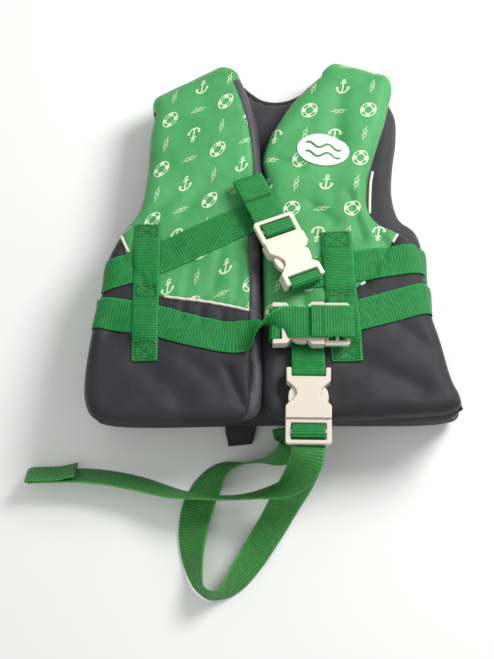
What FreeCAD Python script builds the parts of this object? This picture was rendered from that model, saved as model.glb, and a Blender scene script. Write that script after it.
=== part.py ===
import FreeCAD, Part

import math
import os

from FreeCAD import Placement, Rotation, Vector

# Child's foam vest life jacket, lying on its back with its three buckles closed.
# +X is the wearer's left, +Y points to the shoulders, +Z is up. The origin is on the
# face that the jacket lies on, under the middle of its chest. "Right" and "left" in
# the names are the wearer's own, so the right front is on the -X side.
# Everything on the two fronts is drawn in the fronts' own frame: X across, Y up the
# chest, Z = 0 on the outside of the cover. That frame is tilted by front_tilt.

SIZES = {
    "webbing_width": 25.0,
    "webbing_thick": 1.6,
    "loop_width_right": 20.0,
    "loop_width_left": 24.0,
    "front_tilt": 5.0,
    "front_height": 60.0,
    "front_thick": 20.0,
    "cover_thick": 1.0,
    "cover_gap": 0.2,
    "back_thick": 26.6,
    "back_sheet": 2.8,
    "groove_width": 25.8,
    "groove_depth": 1.8,
    "gusset_thick": 3.0,
    "gusset_reach": 60.0,
    "piping_thick": 1.8,
    "fold_depth": 13.0,
    "fold_height": 47.5,
    "patch_thick": 1.2,
    "tape_thick": 0.8,
    "housing_thick": 10.5,
    "plate_thick": 2.2,
    "frame_low": 4.0,
    "frame_thick": 4.4,
    "block_low": 2.6,
    "block_thick": 5.3,
    "arm_low": 2.9,
    "arm_thick": 4.7,
    "bar_low": 3.5,
    "bar_thick": 3.5,
    "corner_round": 1.0,
    "rim_round": 0.7,
}

doc = FreeCAD.newDocument("LifeJacket")
sheet = doc.addObject("Spreadsheet::Sheet", "Sizes")
for row, (alias, value) in enumerate(SIZES.items(), start=1):
    sheet.set(f"A{row}", alias)
    sheet.set(f"B{row}", str(value))
    sheet.setAlias(f"B{row}", alias)
doc.recompute()

WEBBING = SIZES["webbing_width"]
THICK = SIZES["webbing_thick"]
FRONT = Placement(
    Vector(0, 0, SIZES["front_height"]),
    Rotation(Vector(1, 0, 0), -SIZES["front_tilt"]),
)
FLAT = Placement()
LYING = 0.1                      # a belt's underside above the cover
BELT_MIDDLE = LYING + THICK / 2  # the middle of a belt that lies on the cover

parts = []


# ---------------------------------------------------------------- outlines

def inset(points, distance):
    """The closed outline moved inward (anticlockwise outlines) by distance."""
    moved = []
    count = len(points)
    for i in range(count):
        before, here, after = points[i - 1], points[i], points[(i + 1) % count]
        moved.append(mitre(before, here, after, distance))
    return moved


def mitre(before, here, after, distance):
    """Where the corner goes when both of its edges move left by distance."""
    ax, ay = unit(before, here)
    bx, by = unit(here, after)
    nx, ny = -ay - by, ax + bx
    scale = distance / (1 + ax * bx + ay * by)
    return (here[0] + nx * scale, here[1] + ny * scale)


def unit(start, end):
    length = math.hypot(end[0] - start[0], end[1] - start[1])
    return ((end[0] - start[0]) / length, (end[1] - start[1]) / length)


def band(path, width):
    """The closed outline of a strip of this width that follows the path."""
    sides = []
    for half in (-width / 2, width / 2):
        side = []
        for i, here in enumerate(path):
            if i == 0 or i == len(path) - 1:
                ends = (path[0], path[1]) if i == 0 else (path[-2], path[-1])
                ux, uy = unit(*ends)
                side.append((here[0] - uy * half, here[1] + ux * half))
            else:
                side.append(mitre(path[i - 1], here, path[i + 1], half))
        sides.append(side)
    return sides[0] + sides[1][::-1]


def mirrored(points):
    """Half of an outline, drawn on the +Y side, and its mirror image."""
    return points + [(x, -y) for x, y in reversed(points)]


# ---------------------------------------------------------------- solids

def new_body(name, place=FLAT):
    body = doc.addObject("PartDesign::Body", name)
    body.Label = name
    body.Placement = place
    parts.append(body)
    return body


def sketch_on(body, role, outlines, height="0"):
    plane = [f for f in body.Origin.OriginFeatures if f.Role == role][0]
    sketch = body.newObject("Sketcher::SketchObject", "Sketch")
    sketch.AttachmentSupport = (plane, [""])
    sketch.MapMode = "FlatFace"
    sketch.setExpression("AttachmentOffset.Base.z", height)
    for outline in outlines:
        for start, end in zip(outline, outline[1:] + outline[:1]):
            line = Part.LineSegment(Vector(*start, 0), Vector(*end, 0))
            sketch.addGeometry(line, False)
    return sketch


def pad(body, sketch, length, symmetric=False):
    feature = body.newObject("PartDesign::Pad", "Pad")
    feature.Profile = sketch
    if symmetric:
        feature.SideType = "Symmetric"
    feature.setExpression("Length", length)
    sketch.Visibility = False
    return feature


def pocket(body, sketch, length):
    """Cuts upward from the sketch's plane."""
    feature = body.newObject("PartDesign::Pocket", "Pocket")
    feature.Profile = sketch
    feature.Reversed = True
    feature.setExpression("Length", length)
    sketch.Visibility = False
    return feature


def slab(name, outlines, low, thick, place=FLAT):
    """A flat piece: its outlines, from height low, thick high."""
    body = new_body(name, place)
    pad(body, sketch_on(body, "XY_Plane", outlines, low), thick)
    return body


def rounded(body, feature, upright, radius):
    """Rounds all of a feature's upright edges, or all of its other ones."""
    doc.recompute()
    edges = []
    for number, edge in enumerate(feature.Shape.Edges, start=1):
        ends = edge.Vertexes
        if (abs(ends[0].Z - ends[-1].Z) > 0.01) == upright:
            edges.append(f"Edge{number}")
    fillet = body.newObject("PartDesign::Fillet", "Fillet")
    fillet.Base = (feature, edges)
    fillet.setExpression("Radius", radius)
    return fillet


def ribbon(name, path, width, place):
    """Webbing that bends in the XZ plane of its own frame."""
    body = new_body(name, place)
    pad(body, sketch_on(body, "XZ_Plane", [band(path, THICK)]), width, symmetric=True)
    return body


# ---------------------------------------------------------------- the fronts

# every outline runs anticlockwise, which inset() needs
RIGHT_SEAM = [(-120, -4), (-113, -27), (-94, -55), (-88, -57.5), (-52, -62), (-18, -69)]
RIGHT_UPPER = [(-33, 137.7), (-95, 104), (-98, 85), (-100, 48), (-106, 17), (-117, 1)]
RIGHT_UPPER += RIGHT_SEAM + [(-18, 0), (-15, 52), (-19, 90), (-25, 114)]
RIGHT_LOWER = RIGHT_SEAM[::-1] + [
    (-125.5, -15), (-130.5, -30), (-132.5, -50), (-137, -70), (-141, -95), (-143.5, -120),
    (-143, -136), (-138, -154), (-108, -158), (-55, -158), (-25, -155.5), (-18, -140)]
RIGHT_BAND = [
    (-27, 141), (-33, 137.7), (-25, 114), (-19, 90), (-15, 52), (-18, 0), (-18, -140),
    (-25, -155.5), (-17, -155), (-8.7, -139), (-8.7, 0), (-6, 40), (-8.5, 58), (-11, 90),
    (-17.5, 116)]
RIGHT_WHOLE = [
    (-27, 141), (-95, 104), (-98, 85), (-100, 48), (-106, 17), (-117, 1), (-120, -4),
    (-125.5, -15), (-130.5, -30), (-132.5, -50), (-137, -70), (-141, -95), (-143.5, -120),
    (-143, -136), (-138, -154), (-108, -158), (-55, -158), (-25, -155.5), (-17, -155),
    (-8.7, -139), (-8.7, 0), (-6, 40), (-8.5, 58), (-11, 90), (-17.5, 116)]

LEFT_TOP = [(99, 125), (41.5, 141)]
LEFT_SEAM = [(-7.7, -76), (38, -71), (63.5, -51), (71, -46), (93, -14), (99, -3.5)]
LEFT_UPPER = LEFT_TOP + [(19.5, 118), (-1.3, 84), (-7.5, 62), (-5, 40), (-7.7, 0)] + LEFT_SEAM + [
    (84, 9), (75.5, 13.5), (79, 53), (92.5, 98), (99, 112)]
LEFT_LOWER = LEFT_SEAM[::-1] + [
    (-7.7, -155), (42.5, -156), (144, -149), (136, -123), (128.5, -91), (122, -67),
    (119, -42), (111, -8)]
LEFT_WHOLE = LEFT_TOP + [(19.5, 118), (-1.3, 84), (-7.5, 62), (-5, 40), (-7.7, 0)] + [
    (-7.7, -155), (42.5, -156), (144, -149), (136, -123), (128.5, -91), (122, -67),
    (119, -42), (111, -8), (99, -3.5), (84, 9), (75.5, 13.5), (79, 53), (92.5, 98), (99, 112)]


def front_cushion(name, outline):
    """A fabric cover, open underneath, and the foam that fills it."""
    cover = slab(f"{name}_cover", [outline], "-Sizes.front_thick + Sizes.cover_thick",
                 "Sizes.front_thick - Sizes.cover_thick", FRONT)
    hollow = sketch_on(cover, "XY_Plane", [inset(outline, SIZES["cover_thick"])],
                       "-Sizes.front_thick + Sizes.cover_thick")
    pocket(cover, hollow, "Sizes.front_thick - 2 * Sizes.cover_thick")
    foam_outline = inset(outline, SIZES["cover_thick"] + SIZES["cover_gap"])
    slab(f"{name}_foam", [foam_outline],
         "-Sizes.front_thick + Sizes.cover_thick + Sizes.cover_gap",
         "Sizes.front_thick - 2 * (Sizes.cover_thick + Sizes.cover_gap)", FRONT)


front_cushion("front_right_upper", RIGHT_UPPER)
front_cushion("front_right_lower", RIGHT_LOWER)
front_cushion("front_left_upper", LEFT_UPPER)
front_cushion("front_left_lower", LEFT_LOWER)
slab("front_right_edge_band", [RIGHT_BAND], "-Sizes.front_thick + Sizes.cover_thick",
     "Sizes.front_thick - Sizes.cover_thick", FRONT)
for side, outline in (("right", RIGHT_WHOLE), ("left", LEFT_WHOLE)):
    slab(f"front_{side}_lining", [outline], "-Sizes.front_thick", "Sizes.cover_thick", FRONT)


# ---------------------------------------------------------------- the back

BACK_SIDES = [
    (-95, 103.6), (-98, 85), (-100, 48), (-106, 17), (-117, 1), (-125.5, -15),
    (-130.5, -30), (-132.5, -50), (-137, -70), (-141, -95), (-142, -120), (-140, -150),
    (148, -148), (150, -140), (131, -91), (124, -42), (123, -2), (119, 16), (107, 19),
    (99.5, 42), (100.6, 67), (104, 90), (108, 112), (99, 124.5)]
NECKLINE = [(41.5, 140.5), (30, 133), (16, 124.7), (-8, 124.7), (-20, 133), (-27, 140.5)]
BACK = BACK_SIDES + NECKLINE
CHEST_LINE = -33.0   # where the middle of the chest belt crosses the back
WAIST_LINE = -63.5   # and the waist belt
WAIST_FOLD = -48.0   # where the back's two foam slabs meet


def across(low, high):
    """A rectangle right across the back, between two heights."""
    return [(-160, low), (160, low), (160, high), (-160, high)]


back = slab("back_cover", [BACK], "0", "Sizes.back_thick - Sizes.cover_thick")
hollow = sketch_on(back, "XY_Plane", [inset(BACK, SIZES["cover_thick"])], "Sizes.back_sheet")
pocket(back, hollow, "Sizes.back_thick - Sizes.cover_thick - Sizes.back_sheet")
reach = SIZES["groove_width"] / 2
grooves = [across(line - reach, line + reach) for line in (CHEST_LINE, WAIST_LINE)]
pocket(back, sketch_on(back, "XY_Plane", grooves), "Sizes.groove_depth")
slab("back_lining", [BACK], "Sizes.back_thick - Sizes.cover_thick", "Sizes.cover_thick")

foam = inset(BACK, SIZES["cover_thick"] + SIZES["cover_gap"])
foam_low = "Sizes.back_sheet + Sizes.cover_gap"
foam_thick = "Sizes.back_thick - Sizes.back_sheet - Sizes.cover_thick - 2 * Sizes.cover_gap"
for name, gone in (("back_upper_foam", across(-170, WAIST_FOLD)),
                   ("back_lower_foam", across(WAIST_FOLD - SIZES["cover_gap"], 160))):
    body = slab(name, [foam], foam_low, foam_thick)
    pocket(body, sketch_on(body, "XY_Plane", [gone], "0"), "Sizes.back_thick")

slab("neck_binding", [band(NECKLINE[1:-1], 4)], "Sizes.back_thick", "Sizes.tape_thick")
slab("crotch_anchor", [[(-34, -163), (-16, -161), (-12, -150.3), (-38, -150.3)]], "2", "3")

# the two shoulders: a padded fold that joins each front to the back
for name, start, end in (("shoulder_right", (-95, 103.6), (-27, 140.5)),
                         ("shoulder_left", (41.5, 140.5), (99, 124.5))):
    ux, uy = unit(start, end)
    body = new_body(name, Placement(Vector(start[0], start[1], 0),
                                    Rotation(Vector(0, 0, 1), math.degrees(math.atan2(uy, ux)))))
    sketch = sketch_on(body, "YZ_Plane", [], "0")
    height = SIZES["fold_height"]
    depth = SIZES["fold_depth"]
    ends = [Vector(0.3, 0.1, 0), Vector(0.3, height, 0)]
    sketch.addGeometry(Part.LineSegment(*ends), False)
    arc = Part.Arc(ends[0], Vector(depth, height / 2, 0), ends[1])
    sketch.addGeometry(arc, False)
    pad(body, sketch, str(round(math.dist(start, end), 3)))

# the side gussets close the two sides between the back and each front
GUSSETS = {
    "side_gusset_right": [(-115.5, 0), (-123.5, -16), (-128.3, -30), (-130.3, -50),
                          (-134.8, -70), (-138.8, -95), (-140.3, -120), (-138, -148)],
    "side_gusset_left": [(143, -146), (134.5, -123), (127, -91), (120.2, -67),
                         (117.2, -42), (109.5, -10), (99, -6)],
}
for name, path in GUSSETS.items():
    tall = slab(f"{name}_wall", [band(path, SIZES["gusset_thick"])], "Sizes.back_thick",
                "Sizes.gusset_reach")
    parts.pop()
    above = doc.addObject("Part::Box", f"{name}_above")
    above.Length = above.Width = 400
    above.Height = 100
    above.Placement = FRONT * Placement(Vector(-200, -200, -SIZES["front_thick"]), Rotation())
    wall = doc.addObject("Part::Cut", name)
    wall.Label = name
    wall.Base = tall
    wall.Tool = above
    parts.append(wall)

# ---------------------------------------------------------------- trim on the fronts

PIPING = {
    "front_right_piping": [[(-119, -5.5), (-112.6, -20.5)],
                           [(-84, -57.9), (-52, -62), (-18.5, -68.9)]],
    "front_left_piping": [[(98.4, -4.5), (94.2, -12)], [(71.5, -45.6), (68, -48.1)],
                          [(81, 53), (77.3, 15)]],
}
for name, paths in PIPING.items():
    slab(name, [band(path, 1.8) for path in paths], "0.05", "Sizes.piping_thick", FRONT)

oval = [(21 * math.cos(a * math.pi / 16), 14 * math.sin(a * math.pi / 16)) for a in range(32)]
outlines = [oval]
for rise in (-4.5, 3.5):
    wave = [(x, rise + 2 * math.sin(x * math.pi / 8)) for x in range(-14, 15, 2)]
    outlines.append(band(wave, 2.2))
slab("chest_patch", outlines, "0.05", "Sizes.patch_thick",
     FRONT * Placement(Vector(41, 67.5, 0), Rotation(Vector(0, 0, 1), -8)))


def along(x, y, height, angle, roll=0.0):
    """A place on the fronts, its X axis turned to angle and rolled about itself."""
    turned = Placement(Vector(x, y, height), Rotation(Vector(0, 0, 1), angle))
    return FRONT * turned * Placement(Vector(), Rotation(Vector(1, 0, 0), roll))


# the upright belt loops, sewn down between the belts and raised over each of them
OVER = LYING + THICK + LYING + THICK / 2
LOOPS = {
    "belt_loop_right": ("Sizes.loop_width_right", -98.0, 90.0,
                        (1.5, -9, -10.4, -47.2, -48.7, -60.3, -61.6, -92.5, -94, -110)),
    "belt_loop_left": ("Sizes.loop_width_left", 49.3, 93.6,
                       (-4.5, -17.5, -19, -51.3, -52.8, -58.5, -60, -94.5, -96, -111)),
}
for name, (width, x, angle, steps) in LOOPS.items():
    heights = [BELT_MIDDLE, BELT_MIDDLE, OVER, OVER] * 3
    ribbon(name, list(zip(steps, heights)), width, along(x, 0, 0, angle))

# ---------------------------------------------------------------- belts

BELT_RUNS = {
    "chest_belt_right": [(-134.7, -41.5), (-97, -29.6), (-6, 14.7)],
    "chest_belt_left": [(14, -41), (33.5, -38.2), (63, -33.2), (127.2, -24.5)],
    "waist_belt_right": [(-140.6, -69), (-89, -78.6), (-63, -86), (-31, -92), (-24.3, -91)],
    "waist_belt_left": [(2, -85.6), (20.5, -85.6), (66.6, -73.7), (131.4, -56)],
}
for name, path in BELT_RUNS.items():
    slab(name, [band(path, WEBBING)], str(LYING), "Sizes.webbing_thick", FRONT)

BACK_BELTS = {
    "chest_belt_back": (CHEST_LINE, -133.9, 126.4, 61.7),
    "waist_belt_back": (WAIST_LINE, -139.8, 130.6, 64.2),
}
for name, (line, right, left, top) in BACK_BELTS.items():
    path = [(right, top), (right, BELT_MIDDLE), (left, BELT_MIDDLE), (left, top)]
    ribbon(name, path, "Sizes.webbing_width", Placement(Vector(0, line, 0), Rotation()))

# ---------------------------------------------------------------- buckles

# Each buckle has its own frame: X from the adjuster's end to the fixed end, Z outward.
BUCKLES = {
    "chest": along(-1.9, 1.2, 6.5, -64.4, -12.0),
    "waist": along(57.8, -85.3, 4.0, 180.0),
    "crotch": along(25.4, -178.0, 0.5, 89.2),
}
HALF_SOCKET = [(19.3, 17.1), (28.5, 17.1), (31, 15), (33.5, 11.5), (38, 8.8), (42, 9.6),
               (45.5, 13.5), (48, 16.4), (58.6, 16.7), (58.6, 12.9), (51.6, 12.9)]
CAVITY = mirrored([(19, 13.6), (46.5, 13.6)])
PIN = mirrored([(54.5, 13.2), (58, 13.2)])
FRAME = mirrored([(0, 15.6), (1.5, 17.1), (19, 17.1)])
SLOTS = [mirrored([(3, 13.2), (8, 13.2)]), mirrored([(11, 13.2), (16, 13.2)])]
BLOCK = mirrored([(17, 12.6), (22.2, 12.6), (22.2, 2), (44, 2)])
ARM = [(22.8, 8.8), (30, 9.4), (38, 9.6), (42.5, 8.6), (44.5, 10), (43.5, 12.6),
       (41, 14.2), (37, 15), (33.2, 14.8), (32.5, 13.1), (22.8, 13.1)]

for name, place in BUCKLES.items():
    socket = new_body(f"{name}_buckle_socket", place)
    housing = pad(socket, sketch_on(socket, "XY_Plane", [mirrored(HALF_SOCKET)]),
                  "Sizes.housing_thick")
    housing = rounded(socket, housing, True, "Sizes.corner_round")
    rounded(socket, housing, False, "Sizes.rim_round")
    hollow = sketch_on(socket, "XY_Plane", [CAVITY], "Sizes.plate_thick")
    pocket(socket, hollow, "Sizes.housing_thick - 2 * Sizes.plate_thick")
    pad(socket, sketch_on(socket, "XY_Plane", [PIN], "Sizes.bar_low"), "Sizes.bar_thick")

    plug = new_body(f"{name}_buckle_plug", place)
    adjuster = pad(plug, sketch_on(plug, "XY_Plane", [FRAME] + SLOTS, "Sizes.frame_low"),
                   "Sizes.frame_thick")
    rounded(plug, adjuster, False, "Sizes.rim_round")
    pad(plug, sketch_on(plug, "XY_Plane", [BLOCK], "Sizes.block_low"), "Sizes.block_thick")

    for letter, outline in (("a", ARM), ("b", [(x, -y) for x, y in reversed(ARM)])):
        slab(f"{name}_buckle_arm_{letter}", [outline], "Sizes.arm_low", "Sizes.arm_thick",
             place)

# ---------------------------------------------------------------- webbing at the buckles

# round the adjuster: in underneath, over the middle bar, and out underneath as the tail
ADJUSTER = [(5.4, 9.4), (13.6, 9.4), (13.6, 0.9)]
# round the pin of the fixed half
TURN = [(59.6, 8.0), (53.05, 8.0), (53.05, 1.4)]

WEBBING_PATHS = {
    "chest_tail": ("chest", [(-42, -0.3), (-12, 2.2), (-4, 2.9), (3.2, 2.9), (5.4, 4.4)]
                   + ADJUSTER + [(-4, 0.9), (-9, 0.2)]),
    "waist_tail": ("waist", [(27.5, 13.8), (5.4, 13.8), (5.4, 3.0), (13.6, 3.0), (13.6, 10.4),
                             (18, 12.0), (62, 12.0)]),
    "crotch_adjuster_webbing": ("crotch", [(-3, 2.9), (3.2, 2.9), (5.4, 4.4)]
                                + ADJUSTER + [(-3, 0.9)]),
    "chest_socket_webbing": ("chest", [(46, -1.0), (59.6, -1.0)] + TURN),
    "waist_socket_webbing": ("waist", [(46, -1.0), (59.6, -1.0)] + TURN),
    "crotch_tab": ("crotch", [(79.5, 2.4), (66, 2.4), (59, 8.0), (53.05, 8.0), (53.05, 2.5),
                              (58, 2.5), (63, 0.6), (79.5, 0.6)]),
    "waist_lead": ("waist", [(62.3, 12.0), (66, 11.4), (76, 2.5), (81.3, -1.8)]),
}
for name, (buckle, path) in WEBBING_PATHS.items():
    ribbon(name, path, "Sizes.webbing_width", BUCKLES[buckle])

# ---------------------------------------------------------------- the crotch strap

# both ends leave the crotch adjuster and hang to the floor; the points are X, Y, Z
STRAP_HANG = [(22.4, -187.8, 76.6), (19.4, -193, 72), (13.5, -203.4, 52), (7, -214.8, 26),
              (3, -221.7, 8), (0.6, -226, 2)]
STRAP_LOOP = [(-1.5, -228), (-23, -263), (-40, -281), (-56, -272), (-62.5, -236), (-57, -207),
              (-37.5, -180), (-6, -175), (11, -165), (11, -154)]
TAIL_HANG = [(13, -191.5, 79.6), (6.3, -193.7, 78.5), (-1.3, -196.2, 72), (-13.6, -200.2, 48),
             (-23.1, -203.3, 27), (-32.6, -206.4, 10), (-39.8, -208.8, 4.4)]
TAIL_RUN = [(-43.2, -209.2), (-57, -205.3), (-80, -198.5), (-120, -190), (-155, -189.5),
            (-194, -189)]


def hanging(name, route):
    """Webbing that hangs along the route, in the upright plane through its ends."""
    start, end = route[0], route[-1]
    heading = math.degrees(math.atan2(end[1] - start[1], end[0] - start[0]))
    place = Placement(Vector(start[0], start[1], 0), Rotation(Vector(0, 0, 1), heading))
    path = [(math.dist(start[:2], point[:2]), point[2]) for point in route]
    ribbon(name, path, "Sizes.webbing_width", place)


hanging("crotch_strap_drop", STRAP_HANG)
slab("crotch_strap_loop", [band(STRAP_LOOP, WEBBING)], "0.2", "Sizes.webbing_thick")
hanging("crotch_tail_drop", TAIL_HANG)
slab("crotch_tail_run", [band(TAIL_RUN, WEBBING)], "2.2", "Sizes.webbing_thick")

# ---------------------------------------------------------------- checks and files

doc.recompute()
failed = [obj.Label for obj in doc.Objects if {"Invalid", "Error"} & set(obj.State)]
for obj in parts:
    if obj.Shape.isNull() or not obj.Shape.isValid() or obj.Shape.Volume <= 0:
        failed.append(obj.Label)
if failed:
    raise RuntimeError(f"these objects failed: {failed}")

os.makedirs("parts", exist_ok=True)
for obj in parts:
    obj.Shape.exportStep(f"parts/{obj.Label}.step")
print(len(parts), "sub-parts")
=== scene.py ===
import math

import bmesh
import bpy
import numpy as np
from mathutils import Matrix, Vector, geometry, noise


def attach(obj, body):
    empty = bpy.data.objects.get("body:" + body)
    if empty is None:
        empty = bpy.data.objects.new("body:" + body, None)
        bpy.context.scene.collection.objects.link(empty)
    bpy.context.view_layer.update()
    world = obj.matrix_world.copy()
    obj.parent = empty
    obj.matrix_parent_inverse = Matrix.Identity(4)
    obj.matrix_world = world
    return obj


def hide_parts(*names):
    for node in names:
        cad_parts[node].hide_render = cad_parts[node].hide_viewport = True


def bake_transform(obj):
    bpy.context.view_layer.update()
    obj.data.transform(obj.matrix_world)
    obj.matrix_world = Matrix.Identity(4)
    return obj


# A child's foam vest life jacket, lying on its back with its buckles closed. Sizes in
# this script are millimetres, turned into metres where a mesh is made. Right and left
# are the wearer's. Points on the fronts are (x, v, w): across, up the chest, and out
# from the cover, in the fronts' tilted frame.

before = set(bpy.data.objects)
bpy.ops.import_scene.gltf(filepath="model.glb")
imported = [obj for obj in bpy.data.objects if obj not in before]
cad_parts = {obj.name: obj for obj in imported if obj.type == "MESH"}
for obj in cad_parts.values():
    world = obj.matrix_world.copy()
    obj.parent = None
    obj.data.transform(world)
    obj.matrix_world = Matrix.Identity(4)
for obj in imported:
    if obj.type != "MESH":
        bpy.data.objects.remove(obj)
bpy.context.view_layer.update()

MM = 0.001
TILT = math.radians(5.0)  # the fronts rise towards the hem, as they lie
FRONT_HEIGHT = 60.0  # the outside of their covers, above the floor at y = 0
FRONT_THICK = 20.0
FRONT_MIDDLE = -FRONT_THICK / 2
FRONT_SWELL = 9.9  # each side of a front stands out this far from its middle
FRONT_ROLL = 12.0  # and rolls away over this width at its edges
BACK_THICK = 26.0
BACK_MIDDLE = BACK_THICK / 2
BACK_ROLL = 13.0
CLOTH = 0.7  # a cover or lining, drawn thicker than the real cloth so that it stays closed
WEBBING = 25.0  # the webbing's width
WEB_THICK = 1.5
BELT_LIFT = 1.2  # how far above a cover the belts and loops lie
GROOVE = 13.5  # half the width that a belt presses in
CELL = 2.2  # the triangles of the cloth


def from_front(points):
    """Points of the fronts' frame in the jacket's own frame, both in mm."""
    x, v, w = np.asarray(points, float).T
    cos, sin = math.cos(TILT), math.sin(TILT)
    return np.stack([x, v * cos + w * sin, FRONT_HEIGHT - v * sin + w * cos], axis=1)


# ---------------------------------------------------------------- materials

def colour(code):
    """A linear colour from an sRGB hex code."""
    parts = [int(code[i:i + 2], 16) / 255 for i in (0, 2, 4)]
    linear = [c / 12.92 if c <= 0.04045 else ((c + 0.055) / 1.055) ** 2.4 for c in parts]
    return (*linear, 1.0)


def add_node(tree, kind, inputs=None, output=0, **settings):
    """Adds a shader node with its settings and links, and gives one of its outputs."""
    node = tree.nodes.new(kind)
    for name, value in settings.items():
        setattr(node, name, value)
    for key, value in (inputs or {}).items():
        if isinstance(value, Value):
            tree.links.new(value.socket, node.inputs[key])
        else:
            node.inputs[key].default_value = value
    return Value(tree, node.outputs[output])


class Value:
    """An output of a shader node, so that a pattern is written as plain arithmetic."""

    def __init__(self, tree, socket):
        self.tree = tree
        self.socket = socket

    def output(self, key):
        """Another output of the same node."""
        return Value(self.tree, self.socket.node.outputs[key])

    def maths(self, operation, *others):
        inputs = dict(enumerate((self, *others)))
        return add_node(self.tree, "ShaderNodeMath", inputs, operation=operation)

    def __add__(self, other):
        return self.maths("ADD", other)

    def __sub__(self, other):
        return self.maths("SUBTRACT", other)

    def __mul__(self, other):
        return self.maths("MULTIPLY", other)

    def __abs__(self):
        return self.maths("ABSOLUTE")

    def __lt__(self, other):
        return self.maths("LESS_THAN", other)

    def __gt__(self, other):
        return self.maths("GREATER_THAN", other)

    def __mod__(self, other):
        return self.maths("FLOORED_MODULO", other)

    def __or__(self, other):
        return self.maths("MAXIMUM", other)

    def floor(self):
        return self.maths("FLOOR")

    def sine(self):
        return self.maths("SINE")

    def root(self):
        return self.maths("SQRT")

    def angle(self, other):
        return self.maths("ARCTAN2", other)


def length2(x, y):
    """How far a point of a pattern is from its middle."""
    return (x * x + y * y).root()


def new_material(name, rough, sheen=0.0, specular=0.35):
    """A material, its tree and shader, and its own coordinates in mm."""
    material = bpy.data.materials.new(name)
    material.use_nodes = True
    tree = material.node_tree
    shader = tree.nodes["Principled BSDF"]
    shader.inputs["Roughness"].default_value = rough
    shader.inputs["Sheen Weight"].default_value = sheen
    shader.inputs["Specular IOR Level"].default_value = specular
    metres = add_node(tree, "ShaderNodeTexCoord", output="Object")
    place = add_node(tree, "ShaderNodeVectorMath", {0: metres, "Scale": 1 / MM},
                     operation="SCALE")
    return material, tree, shader, place


def finish(tree, shader, tone, dark, light, height, deep, strength):
    """Gives a shader its colour, from dark to light by tone, and relief deep mm high."""
    tinted = add_node(tree, "ShaderNodeMix", {0: tone, 6: dark, 7: light}, output=2,
                      data_type="RGBA")
    relief = add_node(tree, "ShaderNodeBump",
                      {"Height": height, "Distance": deep * MM, "Strength": strength})
    tree.links.new(tinted.socket, shader.inputs["Base Color"])
    tree.links.new(relief.socket, shader.inputs["Normal"])


def woven(x, y, pitch):
    """A plain weave: threads that pass over and under each other."""
    warp = (x * (math.pi / pitch)).sine()
    weft = (y * (math.pi / pitch)).sine()
    return warp * weft


# Thread spacings in mm, each about twice the real one so that the weave shows.
PRINT_THREAD = 0.45
PLAIN_THREAD = 0.4
# Webbing has a row of stitches about every 2 mm, as the real one does.
WEB_ROW = 2.1
WEB_STITCH = 1.3
WEB_EDGE = 11.2  # beyond this its edge is bound, and its colour is painted lighter there, as a highlight


def life_ring(x, y):
    """Two thin circles with four bands between them, 13 mm across."""
    r = length2(x, y)
    turn = y.angle(x)
    lines = (abs(r - 3.5) < 0.32) | (abs(r - 6.2) < 0.36)
    wraps = (abs(r - 4.85) < 1.6) * ((turn * 4.0 + math.pi / 2).sine() > 0.15)
    return lines | wraps


def anchor(x, y):
    """A ring, shank, stock and curved arms with round flukes, 12 mm tall."""
    shank = (abs(x) < 0.55) * (abs(y) < 4.8)
    ring = abs(length2(x, y - 5.6) - 1.15) < 0.42
    stock = (abs(y - 3.1) < 0.45) * (abs(x) < 2.6)
    arms = (abs(length2(x, y + 0.4) - 4.7) < 0.6) * (y < -1.4)
    flukes = length2(abs(x) - 4.4, y + 1.2) < 1.15
    return shank | ring | stock | arms | flukes


def knot(x, y):
    """Two loops side by side with a strand crossing them and two tails."""
    loops = abs(length2(abs(x) - 1.9, y * 1.15) - 1.75) < 0.4
    strands = (abs(x * 0.55 - y) < 0.35) * (abs(x) < 2.6)
    tails = (abs(y - x * 0.12) < 0.4) * (abs(abs(x) - 4.9) < 1.5)
    return loops | strands | tails


def print_pattern(x, y, rows, lean, pitch, origin):
    """How much cream print is on the cloth: life rings and anchors by turns, with knots.

    The rows and columns lean by the two angles, and one life ring is at the origin.
    """
    x, y = x - origin[0], y - origin[1]
    column_x, column_y = math.sin(lean), math.cos(lean)
    row_x, row_y = math.cos(rows), math.sin(rows)
    area = row_x * column_y - row_y * column_x
    across = (x * column_y - y * column_x) * (1 / (area * pitch[0])) + 0.5
    up = (y * row_x - x * row_y) * (1 / (area * pitch[1])) + 0.5
    column, row = across.floor(), up.floor()
    odd = column % 2.0
    even = odd * -1.0 + 1.0
    x = (across - column - 0.5) * pitch[0]
    y = (up - row - 0.5) * pitch[1]
    flip = (row % 4.0 < 2.0) * -2.0 + 1.0
    between = row % 2.0
    rings = life_ring(x, y) * (between * -1.0 + 1.0) | knot(y, x) * between * 0.6
    anchors = anchor(x, y * flip) * between | knot(x, y) * (between * -1.0 + 1.0) * 0.6
    return rings * even | anchors * odd


def printed_cloth(name, *lattice):
    """Woven polyester, dyed green and printed in cream: dull, with soft broad creases."""
    material, tree, shader, place = new_material(name, 0.5, sheen=0.02)
    patches = add_node(tree, "ShaderNodeTexNoise",
                       {"Vector": place, "Scale": 1 / 42.0, "Detail": 3.0})
    green = add_node(tree, "ShaderNodeMix",
                     {0: patches, 6: colour("287c40"), 7: colour("58b46b")}, output=2,
                     data_type="RGBA")
    cloth = add_node(tree, "ShaderNodeTexCoord", output="UV")
    x = add_node(tree, "ShaderNodeSeparateXYZ", {0: cloth})
    y = x.output(1)
    creases = add_node(tree, "ShaderNodeTexNoise",
                       {"Vector": place, "Scale": 1 / 17.0, "Detail": 2.0})
    finish(tree, shader, print_pattern(x, y, *lattice) * 0.86, green, colour("e4ecd0"),
           creases * 2.2 + woven(x, y, PRINT_THREAD) * 0.05, 1.0, 0.6)
    return material


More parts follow.
